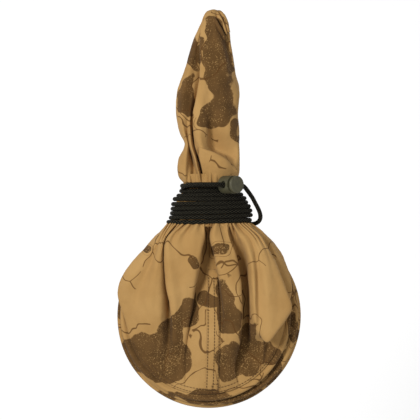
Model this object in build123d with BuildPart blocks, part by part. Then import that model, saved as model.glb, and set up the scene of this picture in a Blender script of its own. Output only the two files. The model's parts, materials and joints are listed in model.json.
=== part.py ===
"""Training bumper of soft fabric: a collapsed drum of three spring-wire hoops, a pleated sleeve drawn to a neck,
a folded tail used as the handle, and a drawcord wound round the neck with a barrel cord lock.

The bumper lies on its base. Millimetres, +Z up, +Y along the tail. The origin is on the base panel's resting face,
at the middle of the back hoop and in line with the neck.
"""

import os
from math import cos, pi, radians, sin, tan

from build123d import *

# Hoops: wire ring, crimped ferrule and sewn casing. Each has its centre and its casing's outer radius.
HOOPS = {
    "back_hoop": (0.0, 0.0, 92.5),
    "middle_hoop": (0.5, 0.5, 89.5),
    "front_hoop": (-3.5, 1.0, 85.5),
}
CASING_TUBE_R = 2.6
CASING_BORE_R = 1.6
CASING_BAND = 12.0
BAND_THICK = 1.2
HOOP_PITCH = 6.6
WIRE_R = 1.0
WIRE_GAP_DEG = 0.25
FERRULE_R = 1.45
FERRULE_CLEARANCE = 0.05
FERRULE_ARC_DEG = 9.0

# Fabric walls between the hoops, folded inwards while the drum is collapsed.
WALL_NAMES = ("lower_wall", "upper_wall")
WALL_OUTER_R = (83.5, 77.5)
WALL_FOLD_DEPTH = 30.0
WALL_THICK = 0.8
WALL_GAP = 0.35

PANEL_THICK = 0.8
PANEL_R = 89.5

# Sleeve front: (y, centre x, half width, crown height) of each half-elliptical section above the front hoop.
SLEEVE_SECTIONS = [
    (-79.0, -3.0, 22.0, 3.0),
    (-58.0, -3.0, 58.0, 8.0),
    (-20.0, -3.0, 79.0, 13.0),
    (20.0, -2.5, 81.0, 18.0),
    (56.0, -1.5, 67.0, 23.0),
    (90.5, 0.0, 42.0, 26.0),
]
SLEEVE_THICK = 1.6
PLACKET_X = 3.0
PLACKET_WIDTH = 14.0
PLACKET_THICK = 0.7
PLACKET_START_Y = -74.0
PLACKET_END_Y = 62.0

# Gathered neck: half widths at the sleeve end and at the tail end.
NECK_START_Y = 90.5
NECK_END_Y = 142.9
NECK_Z = 27.2
NECK_HALF_X = (38.0, 26.0)
NECK_HALF_Z = 16.5

# Drawcord, and the shape that its turns fill round the neck.
CORD_D = 4.4
WINDING_START_Y = 93.5
WINDING_END_Y = 142.5
WINDING_HALF_X = (47.5, 32.0)
WINDING_HALF_Z = (24.5, 22.5)
WINDING_CLEARANCE = 0.15

# Cord lock, tilted from +Z towards +X, with its cord crossing it at right angles.
LOCK_Y = 132.0
LOCK_TILT_DEG = 40.0
LOCK_FOOT_R = 23.2
HOUSING_R = 8.9
HOUSING_BORE_R = 6.45
HOUSING_LENGTH = 15.0
HOUSING_FLOOR = 1.4
HOLE_R = 3.6
HOLE_AT = 8.6
PLUNGER_R = 6.3
PLUNGER_TRAVEL = 2.2
PLUNGER_FOOT_AT = 4.6
CAP_R = 8.6
CAP_THICK = 2.7
CAP_FILLET = 1.0
SPRING_BORE_R = 4.0
SPRING_BORE_DEPTH = 2.0
SPRING_R = 3.2
SPRING_WIRE_R = 0.3
SPRING_TURNS = 3.5
LOCK_SLIDE = 6.0
LOCK_CLEARANCE = 0.5
RUN_BEFORE_LOCK = 17.2
RUN_AFTER_LOCK = 23.5

# Tail: (y, centre x, half width, split height, height above it, depth below it) of each section.
TAIL_SECTIONS = [
    (163.0, 0.5, 26.5, 27.2, 18.5, 19.0),
    (174.0, 1.0, 26.0, 26.0, 19.5, 20.0),
    (190.0, 0.0, 28.5, 23.5, 20.0, 21.5),
    (214.0, -2.5, 30.5, 20.5, 19.0, 19.0),
    (243.0, -0.5, 25.5, 17.0, 16.5, 15.5),
    (273.0, 1.5, 19.5, 14.0, 13.0, 12.5),
    (291.0, 4.0, 14.0, 12.0, 10.0, 10.5),
    (302.0, 4.5, 9.5, 11.0, 6.5, 7.0),
    (307.0, 4.5, 5.0, 11.0, 2.5, 3.0),
]
TAIL_PIVOT = (163.0, 27.2)
TAIL_KNUCKLE_R = 19.6
TAIL_KNUCKLE_HALF_X = 25.0
TAIL_KNUCKLE_FILLET = 6.0
HEM_START_Y = 183.0
HEM_END_Y = 190.0
HEM_OVERHANG = 0.9


def section_plane(y):
    """The plane across the part at y, with its own x along X and its own y along Z."""
    return Plane.XZ.offset(-y)


def half_ellipse(y, centre_x, flat_z, half_x, height):
    """A closed half ellipse across the part, standing on flat_z, or hanging from it where height is negative."""
    start = 0 if height > 0 else 180
    with BuildSketch(section_plane(y)) as section:
        with BuildLine():
            arc = EllipticalCenterArc((centre_x, flat_z), half_x, abs(height), start, arc_size=180)
            Line(arc @ 0, arc @ 1)
        make_face()
    return section.sketch


def ellipse_at(y, half_x, half_z):
    """A full ellipse round the neck's axis at y."""
    with BuildSketch(section_plane(y)) as section:
        with Locations((0, NECK_Z)):
            Ellipse(half_x, half_z)
    return section.sketch


def loft_through(sections, ruled=False):
    """A solid through a row of section faces, with straight sides between them where ruled."""
    with BuildPart() as solid:
        loft(sections=sections, ruled=ruled)
    return solid.part


def hoop_height(level):
    """The height of a wire ring's centre plane, counted from the base up."""
    return CASING_TUBE_R + level * HOOP_PITCH


def hoop_axis(centre):
    """The vertical axis through a hoop's centre."""
    return Axis((centre[0], centre[1], 0), (0, 0, 1))


def ring_plane(centre, height):
    """The upright plane through a hoop's centre, with its own x outwards and its own y up."""
    return Plane(origin=(centre[0], centre[1], height), x_dir=(1, 0, 0), z_dir=(0, -1, 0))


def save(name, solid):
    """Labels a finished piece and writes it as one STEP file."""
    solid.label = name
    export_step(solid, f"parts/{name}.step")


os.makedirs("parts", exist_ok=True)

# ---- hoops -------------------------------------------------------------------------------------------------------

hoop_names = list(HOOPS)
casings = {}
for level, (hoop, (centre_x, centre_y, outer_r)) in enumerate(HOOPS.items()):
    plane = ring_plane((centre_x, centre_y), hoop_height(level))
    axis = hoop_axis((centre_x, centre_y))
    ring_r = outer_r - CASING_TUBE_R

    with BuildPart() as wire:
        with BuildSketch(plane):
            with Locations((ring_r, 0)):
                Circle(WIRE_R)
        revolve(axis=axis, revolution_arc=360 - WIRE_GAP_DEG)
    save(f"{hoop}_wire", wire.part)

    with BuildPart() as ferrule:
        with BuildSketch(plane):
            with Locations((ring_r, 0)):
                Circle(FERRULE_R)
                Circle(WIRE_R + FERRULE_CLEARANCE, mode=Mode.SUBTRACT)
        revolve(axis=axis, revolution_arc=FERRULE_ARC_DEG)
    save(f"{hoop}_ferrule", ferrule.part.rotate(axis, -(FERRULE_ARC_DEG + WIRE_GAP_DEG) / 2))

    with BuildPart() as casing:
        with BuildSketch(plane):
            with Locations((ring_r, 0)):
                Circle(CASING_TUBE_R)
            with Locations((ring_r - CASING_BAND / 2, 0)):
                Rectangle(CASING_BAND, BAND_THICK)
            with Locations((ring_r, 0)):
                Circle(CASING_BORE_R, mode=Mode.SUBTRACT)
        revolve(axis=axis)
    casings[hoop] = casing.part
    save(f"{hoop}_casing", casing.part)

# ---- folded walls between the hoops, and the base panel ----------------------------------------------------------

for level, name in enumerate(WALL_NAMES):
    below, above = HOOPS[hoop_names[level]], HOOPS[hoop_names[level + 1]]
    centre = ((below[0] + above[0]) / 2, (below[1] + above[1]) / 2)
    outer_r = WALL_OUTER_R[level]
    fold_r = outer_r - WALL_FOLD_DEPTH
    bottom = hoop_height(level) + BAND_THICK / 2
    top = hoop_height(level + 1) - BAND_THICK / 2 - WALL_GAP
    middle = (bottom + top) / 2
    with BuildPart() as wall:
        with BuildSketch(ring_plane(centre, 0)):
            with BuildLine():
                Polyline(
                    (outer_r, bottom),
                    (fold_r, middle - WALL_THICK / 2),
                    (fold_r, middle + WALL_THICK / 2),
                    (outer_r, top),
                    (outer_r, top - WALL_THICK),
                    (fold_r + 3 * WALL_THICK, middle),
                    (outer_r, bottom + WALL_THICK),
                    close=True,
                )
            make_face()
        revolve(axis=hoop_axis(centre))
    save(name, wall.part)

with BuildPart() as panel:
    Cylinder(PANEL_R, PANEL_THICK, align=(Align.CENTER, Align.CENTER, Align.MIN))
    add(casings["back_hoop"], mode=Mode.SUBTRACT)
save("base_panel", panel.part.solids().sort_by(SortBy.VOLUME)[-1])

# ---- sleeve front and its seam placket ---------------------------------------------------------------------------

sleeve_z = hoop_height(len(HOOPS) - 1) + CASING_TUBE_R


def sleeve_dome(inset):
    """The dome over the front hoop, shrunk on every side by inset, or grown where inset is negative."""
    sections = []
    last = len(SLEEVE_SECTIONS) - 1
    for index, (y, centre_x, half_x, height) in enumerate(SLEEVE_SECTIONS):
        if index == 0:
            y += max(inset, 0)
        if index == last:
            y -= max(inset, 0)
        sections.append(half_ellipse(y, centre_x, sleeve_z, half_x - inset, height - inset))
    return loft_through(sections)


dome = sleeve_dome(0)
with BuildPart() as sleeve:
    add(dome)
    add(sleeve_dome(SLEEVE_THICK), mode=Mode.SUBTRACT)
save("sleeve_front", sleeve.part)

with BuildPart() as placket:
    add(sleeve_dome(-PLACKET_THICK))
    with Locations((PLACKET_X, (PLACKET_START_Y + PLACKET_END_Y) / 2, sleeve_z + 2 * SLEEVE_THICK)):
        Box(
            PLACKET_WIDTH,
            PLACKET_END_Y - PLACKET_START_Y,
            2 * max(height for _, _, _, height in SLEEVE_SECTIONS),
            align=(Align.CENTER, Align.CENTER, Align.MIN),
            mode=Mode.INTERSECT,
        )
    add(dome, mode=Mode.SUBTRACT)
save("seam_placket", placket.part)

# ---- neck and the wound drawcord ---------------------------------------------------------------------------------

neck = loft_through([
    ellipse_at(NECK_START_Y, NECK_HALF_X[0], NECK_HALF_Z),
    ellipse_at(NECK_END_Y, NECK_HALF_X[1], NECK_HALF_Z),
])
save("neck_core", neck)

tilt = radians(LOCK_TILT_DEG)
lock_up = Vector(sin(tilt), 0, cos(tilt))
cord_way = Vector(cos(tilt), 0, -sin(tilt))
neck_at_lock = Vector(0, LOCK_Y, NECK_Z)
lock_foot = neck_at_lock + lock_up * LOCK_FOOT_R
lock_plane = Plane(origin=lock_foot, x_dir=cord_way, z_dir=lock_up)
cross_plane = Plane(origin=lock_foot + lock_up * HOLE_AT, x_dir=lock_up, z_dir=cord_way)
run_height = HOLE_AT + PLUNGER_TRAVEL / 2

neck_taper = (NECK_HALF_X[1] - NECK_HALF_X[0]) / (NECK_END_Y - NECK_START_Y)
neck_inner = [
    NECK_HALF_X[0] + neck_taper * (y - NECK_START_Y) + WINDING_CLEARANCE
    for y in (WINDING_START_Y, WINDING_END_Y)
]
with BuildPart() as winding:
    add(loft_through([
        ellipse_at(WINDING_START_Y, WINDING_HALF_X[0], WINDING_HALF_Z[0]),
        ellipse_at(WINDING_END_Y, WINDING_HALF_X[1], WINDING_HALF_Z[1]),
    ]))
    add(loft_through([
        ellipse_at(WINDING_START_Y, neck_inner[0], NECK_HALF_Z + WINDING_CLEARANCE),
        ellipse_at(WINDING_END_Y, neck_inner[1], NECK_HALF_Z + WINDING_CLEARANCE),
    ]), mode=Mode.SUBTRACT)
    with BuildSketch(lock_plane.offset(-LOCK_CLEARANCE)):
        with Locations((LOCK_SLIDE / 2, 0)):
            Rectangle(LOCK_SLIDE + 2 * (HOUSING_R + LOCK_CLEARANCE), 2 * (HOUSING_R + 2 * LOCK_CLEARANCE))
    extrude(amount=HOUSING_LENGTH, mode=Mode.SUBTRACT)
save("cord_winding", winding.part)

# The strand through the lock rises from the winding on the left and dives back into it on the right.
through = lock_foot + lock_up * run_height
RUN_POINTS = [
    (-20.0, 123.5, 46.5),
    (-8.5, 128.5, 57.0),
    through - cord_way * RUN_BEFORE_LOCK,
    through + cord_way * RUN_AFTER_LOCK,
    (48.0, 122.5, 28.8),
    (52.0, 112.5, 23.3),
    (50.0, 102.8, 20.2),
    (42.8, 95.9, 18.4),
]
points = [Vector(*point) if isinstance(point, tuple) else point for point in RUN_POINTS]
radii = []
for before, corner, after in zip(points, points[1:], points[2:]):
    turn = (corner - before).get_angle(after - corner)
    shorter = min((corner - before).length, (after - corner).length)
    radii.append(0.45 * shorter / tan(radians(turn / 2)))
print("cord run radii", [round(radius, 1) for radius in radii])
with BuildPart() as run:
    with BuildLine() as route:
        FilletPolyline(*points, radius=radii)
    path = route.wire()
    with BuildSketch(Plane(origin=path @ 0, z_dir=path % 0)):
        Circle(CORD_D / 2)
    sweep(path=path)
section_area = pi * CORD_D**2 / 4
print(f"cord run: length {path.length:.1f}, volume {run.part.volume:.0f}, expected {path.length * section_area:.0f}")
run_outside = run.part - winding.part - neck
save("drawcord_run", run_outside.solids().sort_by(SortBy.VOLUME)[-1])

# ---- cord lock -----------------------------------------------------------------------------------------------------

with BuildPart() as housing:
    with BuildSketch(lock_plane):
        Circle(HOUSING_R)
    extrude(amount=HOUSING_LENGTH)
    fillet(housing.edges().group_by(Axis(lock_foot, lock_up))[0], CAP_FILLET)
    with BuildSketch(lock_plane.offset(HOUSING_FLOOR)):
        Circle(HOUSING_BORE_R)
    extrude(amount=HOUSING_LENGTH, mode=Mode.SUBTRACT)
    with BuildSketch(cross_plane):
        Circle(HOLE_R)
    extrude(amount=2 * HOUSING_R, both=True, mode=Mode.SUBTRACT)
save("cord_lock_housing", housing.part)

cap_at = HOUSING_LENGTH + PLUNGER_TRAVEL + LOCK_CLEARANCE
with BuildPart() as plunger:
    with BuildSketch(lock_plane.offset(cap_at)):
        Circle(CAP_R)
    extrude(amount=CAP_THICK)
    fillet(plunger.edges().group_by(Axis(lock_foot, lock_up))[-1], CAP_FILLET)
    with BuildSketch(lock_plane.offset(PLUNGER_FOOT_AT)):
        Circle(PLUNGER_R)
    extrude(amount=cap_at - PLUNGER_FOOT_AT)
    with BuildSketch(lock_plane.offset(PLUNGER_FOOT_AT)):
        Circle(SPRING_BORE_R)
    extrude(amount=SPRING_BORE_DEPTH, mode=Mode.SUBTRACT)
    with BuildSketch(Plane(origin=cross_plane.origin + lock_up * PLUNGER_TRAVEL, x_dir=lock_up, z_dir=cord_way)):
        Circle(HOLE_R)
    extrude(amount=2 * HOUSING_R, both=True, mode=Mode.SUBTRACT)
save("cord_lock_plunger", plunger.part)

spring_height = PLUNGER_FOOT_AT + SPRING_BORE_DEPTH - HOUSING_FLOOR - 2 * SPRING_WIRE_R
coil = Helix(spring_height / SPRING_TURNS, spring_height, SPRING_R)
coil = lock_plane.offset(HOUSING_FLOOR + SPRING_WIRE_R) * coil
with BuildPart() as spring:
    with BuildSketch(Plane(origin=coil @ 0, z_dir=coil % 0)):
        Circle(SPRING_WIRE_R)
    sweep(path=coil, is_frenet=True)
save("cord_lock_spring", spring.part)

# ---- tail ----------------------------------------------------------------------------------------------------------


def tail_section(y):
    """The tail's section at y, between the two listed sections around it."""
    for low, high in zip(TAIL_SECTIONS, TAIL_SECTIONS[1:]):
        if low[0] <= y <= high[0]:
            share = (y - low[0]) / (high[0] - low[0])
            return [a + share * (b - a) for a, b in zip(low, high)]
    raise ValueError("outside the tail")


with BuildPart() as front_bundle:
    add(loft_through([
        half_ellipse(y, centre_x, split_z, half_x, height)
        for y, centre_x, half_x, split_z, height, _ in TAIL_SECTIONS
    ], ruled=True))
    with BuildPart(mode=Mode.PRIVATE) as knuckle:
        with BuildSketch(Plane.YZ):
            with Locations(TAIL_PIVOT):
                Circle(TAIL_KNUCKLE_R)
        extrude(amount=TAIL_KNUCKLE_HALF_X, both=True)
        fillet(knuckle.edges().filter_by(GeomType.CIRCLE), TAIL_KNUCKLE_FILLET)
    add(knuckle.part)
save("tail_front_bundle", front_bundle.part)

save("tail_return_bundle", loft_through([
    half_ellipse(y, centre_x, split_z, half_x, -depth)
    for y, centre_x, half_x, split_z, _, depth in
    [tail_section(HEM_END_Y)] + [row for row in TAIL_SECTIONS if row[0] > HEM_END_Y]
], ruled=True))

# The hem ends on a listed section, so that its flat side lies on the front bundle's.
save("mouth_hem", loft_through([
    half_ellipse(y, centre_x, split_z, half_x + HEM_OVERHANG, -depth - HEM_OVERHANG)
    for y, centre_x, half_x, split_z, _, depth in (tail_section(HEM_START_Y), tail_section(HEM_END_Y))
], ruled=True))
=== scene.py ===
"""The looks of a soft bumper made of three hoops, a gathered sleeve, a folded tail and a wound drawcord.

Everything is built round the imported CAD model. Shapes are worked out in millimetres; meshes are in metres.
"""

import json
import math

import bpy
import numpy as np
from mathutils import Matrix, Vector, noise


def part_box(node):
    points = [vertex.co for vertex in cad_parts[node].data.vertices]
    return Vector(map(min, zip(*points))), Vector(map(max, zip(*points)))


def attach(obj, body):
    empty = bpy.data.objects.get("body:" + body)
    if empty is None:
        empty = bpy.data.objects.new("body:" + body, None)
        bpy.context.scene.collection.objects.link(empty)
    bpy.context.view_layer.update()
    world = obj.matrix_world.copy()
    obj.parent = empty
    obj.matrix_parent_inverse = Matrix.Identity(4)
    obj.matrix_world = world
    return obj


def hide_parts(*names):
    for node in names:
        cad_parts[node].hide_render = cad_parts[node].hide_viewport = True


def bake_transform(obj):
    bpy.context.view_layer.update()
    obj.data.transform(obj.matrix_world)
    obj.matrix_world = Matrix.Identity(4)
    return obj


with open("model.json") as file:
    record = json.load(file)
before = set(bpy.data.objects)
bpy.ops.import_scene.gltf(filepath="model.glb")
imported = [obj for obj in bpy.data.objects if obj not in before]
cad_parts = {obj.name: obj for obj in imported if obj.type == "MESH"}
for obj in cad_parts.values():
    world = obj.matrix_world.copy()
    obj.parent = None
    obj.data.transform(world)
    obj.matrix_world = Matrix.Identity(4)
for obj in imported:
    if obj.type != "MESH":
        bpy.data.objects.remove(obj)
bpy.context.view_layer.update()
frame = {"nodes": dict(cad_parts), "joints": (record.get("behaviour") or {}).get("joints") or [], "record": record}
MM = 0.001
TURN = 2 * math.pi

# ---- what the CAD model says ----

BODY_OF = {node: body for body, nodes in frame["record"]["behaviour"]["bodies"].items() for node in nodes}
JOINTS = {joint["name"]: joint for joint in frame["joints"]}


def box_mm(node):
    """A node's lowest and highest corners, in millimetres."""
    return [np.array(corner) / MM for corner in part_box(node)]


def points_mm(obj):
    """An object's vertices, in millimetres."""
    return np.array([v.co for v in obj.data.vertices], float).reshape(-1, 3) / MM


class Hoop:
    """A hoop's centre, outer radius, height and body, from its casing."""

    def __init__(self, name):
        low, high = box_mm(f"{name}_casing")
        self.name = name
        self.x, self.y, self.z = (low + high) / 2
        self.outer = (high[0] - low[0]) / 2
        self.tube = (high[2] - low[2]) / 2
        self.body = BODY_OF[f"{name}_casing"]

    def at(self, radius, degrees, height):
        """A point round the hoop's centre, counted in degrees from +X."""
        a = math.radians(degrees)
        return (self.x + radius * math.cos(a), self.y + radius * math.sin(a), height)


HOOPS = [Hoop(name) for name in ("back_hoop", "middle_hoop", "front_hoop")]
BACK, FRONT = HOOPS[0], HOOPS[-1]
SEAM_IN = 6.5
SEAM_LIFT = 1.2
SEAM_R = FRONT.outer - SEAM_IN
SEAM_Z = FRONT.z + SEAM_LIFT

neck_low, neck_high = box_mm("neck_core")
NECK_X = (neck_low[0] + neck_high[0]) / 2
NECK_Z = (neck_low[2] + neck_high[2]) / 2
NECK_START, NECK_END = neck_low[1], neck_high[1]
NECK_HALF_Z = (neck_high[2] - neck_low[2]) / 2
# The neck tapers from its wide start at the drum to its narrow end at the tail.
neck_points = points_mm(frame["nodes"]["neck_core"])
NECK_WIDE = (neck_high[0] - neck_low[0]) / 2
NECK_NARROW = neck_points[neck_points[:, 1] > NECK_END - 0.5][:, 0].max() - NECK_X
# Where the sleeve goes in under the cord: how far it stands out sideways and upwards, and how far it goes in.
SWELL_SIDE, SWELL_UP, TUCK = 3.4, 0.9, 3.4


def rim(degrees):
    """A point of the seam between the sleeve and the front hoop."""
    return FRONT.at(SEAM_R, degrees, SEAM_Z)


def neck(degrees):
    """A point where the sleeve goes in under the cord, counted in degrees from +X through the top."""
    a = math.radians(degrees)
    x = NECK_X + (NECK_WIDE + SWELL_SIDE) * math.cos(a)
    z = NECK_Z + (NECK_HALF_Z + SWELL_UP) * math.sin(a)
    return (x, NECK_START + TUCK, z)


# ---- helpers: curves, sheets and meshes ----


def through(points, count, closed=False):
    """count points on a smooth line through the given ones, which may each be a whole row of points.

    The line is a Catmull-Rom spline, timed by the square root of the distances.
    """
    p = np.asarray(points, float)
    flat = p.reshape(len(p), -1, p.shape[-1])
    step = np.sqrt(np.linalg.norm(np.diff(flat, axis=0), axis=2).mean(axis=1) + 1e-6)
    if closed:
        last = math.sqrt(np.linalg.norm(flat[0] - flat[-1], axis=1).mean() + 1e-6)
        flat = np.concatenate([flat[-1:], flat, flat[:2]])
        step = np.concatenate([[last], step, [last], step[:1]])
    else:
        flat = np.concatenate([2 * flat[:1] - flat[1:2], flat, 2 * flat[-1:] - flat[-2:-1]])
        step = np.concatenate([step[:1], step, step[-1:]])
    t = np.concatenate([[0], np.cumsum(step)])
    want = np.linspace(t[1], t[-2], count + (1 if closed else 0))
    if closed:
        want = want[:-1]
    k = np.clip(np.searchsorted(t, want, side="right") - 1, 1, len(t) - 3)
    d = (t[k + 1] - t[k])[:, None, None]
    s = ((want - t[k]) / (t[k + 1] - t[k]))[:, None, None]
    p0, p1, p2, p3 = flat[k - 1], flat[k], flat[k + 1], flat[k + 2]
    t0, t1, t2, t3 = (t[k + i][:, None, None] for i in (-1, 0, 1, 2))
    m1 = d * ((p1 - p0) / (t1 - t0) - (p2 - p0) / (t2 - t0) + (p2 - p1) / (t2 - t1))
    m2 = d * ((p2 - p1) / (t2 - t1) - (p3 - p1) / (t3 - t1) + (p3 - p2) / (t3 - t2))
    out = (
        (2 * s**3 - 3 * s**2 + 1) * p1
        + (s**3 - 2 * s**2 + s) * m1
        + (3 * s**2 - 2 * s**3) * p2
        + (s**3 - s**2) * m2
    )
    return out.reshape((count,) + p.shape[1:])


def guide_grid(guides, across, along, closed=False):
    """A smooth (across, along, 3) grid through guide lines."""
    rows = np.array([through(np.array(g, float), along) for g in guides])
    return through(rows, across, closed)


def fractal(points, scale, octaves=2, seed=0.0, stretch=(1, 1, 1)):
    """Smooth noise in -1..1 at points of any shape (..., 3). scale is the size of its features."""
    where = np.asarray(points, float)
    flat = where.reshape(-1, 3) / (scale * np.array(stretch))
    out = np.empty(len(flat))
    for i, (x, y, z) in enumerate(flat):
        value, size, gain = 0.0, 1.0, 1.0
        for _ in range(octaves):
            value += gain * noise.noise(Vector((x * size + seed, y * size - seed, z * size + 3 * seed)))
            size *= 2.1
            gain *= 0.5
        out[i] = value
    return out.reshape(where.shape[:-1])


def grid_normals(grid, closed=False):
    """Unit normals of an (across, along, 3) grid."""
    du = np.roll(grid, -1, axis=0) - np.roll(grid, 1, axis=0) if closed else np.gradient(grid, axis=0)
    n = np.cross(du, np.gradient(grid, axis=1))
    return n / (np.linalg.norm(n, axis=2, keepdims=True) + 1e-9)


def relax_grid(grid, times, closed=False):
    """Averages each inner point with its neighbours, which rounds what the guides left sharp."""
    g = grid.copy()
    for _ in range(times):
        ahead, behind = np.roll(g, -1, 0), np.roll(g, 1, 0)
        new = g.copy()
        new[:, 1:-1] = 0.5 * g[:, 1:-1] + 0.125 * (ahead[:, 1:-1] + behind[:, 1:-1] + g[:, 2:] + g[:, :-2])
        if not closed:
            new[[0, -1]] = g[[0, -1]]
        g = new
    return g


PLACE = "cloth_place"


def mesh_object(name, verts_mm, faces, material, smooth=True):
    """A mesh object that stores each point's place at rest, so that its pattern stays on it when it bends."""
    verts = np.asarray(verts_mm, float) * MM
    mesh = bpy.data.meshes.new(name)
    mesh.from_pydata([tuple(v) for v in verts], [], faces)
    places = mesh.attributes.new(PLACE, "FLOAT_VECTOR", "POINT")
    places.data.foreach_set("vector", verts.astype(np.float32).ravel())
    mesh.materials.append(material)
    if smooth:
        mesh.shade_smooth()
    obj = bpy.data.objects.new(name, mesh)
    bpy.context.scene.collection.objects.link(obj)
    return obj


def grid_faces(rows, cols, closed=False, flip=False):
    """The quads between the points of a grid."""
    faces = []
    for i in range(rows if closed else rows - 1):
        j = (i + 1) % rows
        for k in range(cols - 1):
            quad = (i * cols + k, j * cols + k, j * cols + k + 1, i * cols + k + 1)
            faces.append(quad[::-1] if flip else quad)
    return faces


def sheet_object(name, grid, material, closed=False, flip=False, thick=0.5):
    """A cloth through an (across, along, 3) grid, given its thickness on the inner side."""
    rows, cols = grid.shape[:2]
    obj = mesh_object(name, grid.reshape(-1, 3), grid_faces(rows, cols, closed, flip), material)
    if thick:
        solid = obj.modifiers.new("thickness", "SOLIDIFY")
        solid.thickness = thick * MM
        solid.offset = -1
        solid.use_quality_normals = True
        deps = bpy.context.evaluated_depsgraph_get()
        mesh = bpy.data.meshes.new_from_object(
            obj.evaluated_get(deps), preserve_all_data_layers=True, depsgraph=deps
        )
        obj.modifiers.clear()
        obj.data = mesh
    return obj


def tube_mesh(path, radius, sides=8):
    """Vertices and faces of a round tube along a path."""
    p = np.asarray(path, float)
    n = len(p)
    tangent = np.gradient(p, axis=0)
    tangent /= np.linalg.norm(tangent, axis=1, keepdims=True) + 1e-9
    side = np.cross(tangent, [0, 0, 1.0])
    weak = np.linalg.norm(side, axis=1) < 0.05
    side[weak] = np.cross(tangent[weak], [1.0, 0, 0])
    side /= np.linalg.norm(side, axis=1, keepdims=True)
    over = np.cross(side, tangent)
    angle = (np.arange(sides) * TURN / sides)[None, :, None]
    ring = radius * (np.cos(angle) * side[:, None] + np.sin(angle) * over[:, None])
    faces = [
        (i * sides + k, i * sides + (k + 1) % sides, (i + 1) * sides + (k + 1) % sides, (i + 1) * sides + k)
        for i in range(n - 1)
        for k in range(sides)
    ]
    faces.append(tuple(range(sides))[::-1])
    faces.append(tuple((n - 1) * sides + k for k in range(sides)))
    return (p[:, None] + ring).reshape(-1, 3), faces


def stitches(name, paths, body, pitch=3.2, length=2.1, radius=0.3):
    """Raised thread stitches along paths, riding on a body."""
    verts, faces, base = [], [], 0
    for path in paths:
        p = np.asarray(path, float)
        run = np.concatenate([[0], np.cumsum(np.linalg.norm(np.diff(p, axis=0), axis=1))])
        for start in np.arange(0.4, run[-1] - length, pitch):
            at = np.linspace(start, start + length, 5)
            line = np.column_stack([np.interp(at, run, p[:, k]) for k in range(3)])
            line[:, 2] += radius * np.array([-1.0, 0.2, 0.5, 0.2, -1.0])
            v, f = tube_mesh(line, radius, 5)
            verts.append(v)
            faces += [tuple(i + base for i in face) for face in f]
            base += len(v)
    obj = mesh_object(name, np.concatenate(verts), faces, thread)
    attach(obj, body)
    return obj


# ---- materials ----


class Nodes:
    """A short way to write a material's nodes."""

    def __init__(self, name):
        self.material = bpy.data.materials.new(name)
        self.material.use_nodes = True
        self.tree = self.material.node_tree
        self.shader = self.tree.nodes["Principled BSDF"]

    def put(self, socket, value):
        if isinstance(value, bpy.types.NodeSocket):
            self.tree.links.new(value, socket)
        else:
            socket.default_value = value

    def add(self, kind, inputs=None, **settings):
        n = self.tree.nodes.new(kind)
        for key, value in settings.items():
            setattr(n, key, value)
        for key, value in (inputs or {}).items():
            self.put(n.inputs[key], value)
        return n

    def math(self, operation, a, b=0.0):
        return self.add("ShaderNodeMath", {0: a, 1: b}, operation=operation).outputs[0]

    def vector(self, operation, a, b):
        return self.add("ShaderNodeVectorMath", {0: a, 1: b}, operation=operation).outputs[0]

    def length(self, a):
        return self.add("ShaderNodeVectorMath", {0: a}, operation="LENGTH").outputs["Value"]

    def ramp(self, value, low, high, to_low=0.0, to_high=1.0):
        return self.add("ShaderNodeMapRange", {0: value, 1: low, 2: high, 3: to_low, 4: to_high}).outputs[0]

    def mix(self, share, a, b):
        return self.add("ShaderNodeMix", {0: share, 6: a, 7: b}, data_type="RGBA").outputs[2]

    def noise(self, place, scale, detail=2.0, out=0):
        inputs = {"Vector": place, "Scale": scale, "Detail": detail}
        return self.add("ShaderNodeTexNoise", inputs).outputs[out]

    def bump(self, height, distance_mm, strength=0.6):
        inputs = {"Strength": strength, "Distance": distance_mm * MM, "Height": height}
        self.put(self.shader.inputs["Normal"], self.add("ShaderNodeBump", inputs).outputs[0])


TAN = (0.435, 0.256, 0.09, 1)
TAN_DEEP = (0.375, 0.212, 0.07, 1)
BROWN = (0.128, 0.064, 0.018, 1)
BROWN_DEEP = (0.085, 0.042, 0.011, 1)
LINE = (0.095, 0.04, 0.008, 1)


# The brown patches of the front: centre x and y, half width and half height.
PATCHES = [
    (-48, -38, 38, 25), (-35, -14, 15, 20), (-24, 6, 12, 20), (-3, 16, 14, 7), (-16, 53, 6, 5),
    (17, 10, 12, 28), (24, -42, 12, 19), (38, -30, 13, 24), (62, -38, 15, 8), (10, 68, 7, 5),
    (-14, -80, 36, 9), (88, -9, 6, 14), (-63, 70, 6, 6), (9, 238, 16, 42), (4, 281, 9, 26),
    (1, 200, 9, 13), (-22, 221, 9, 20), (-15, 264, 6, 24), (25, 181, 5, 13),
]
PATCH_SLOPE = 0.09
PATCH_WANDER = 0.21
PATCH_SWAY = 0.022
# The patches that cover the rest are kept off the front, which lies above these heights, in metres.
SCATTER_FADES = (0.013, 0.022)


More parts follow.
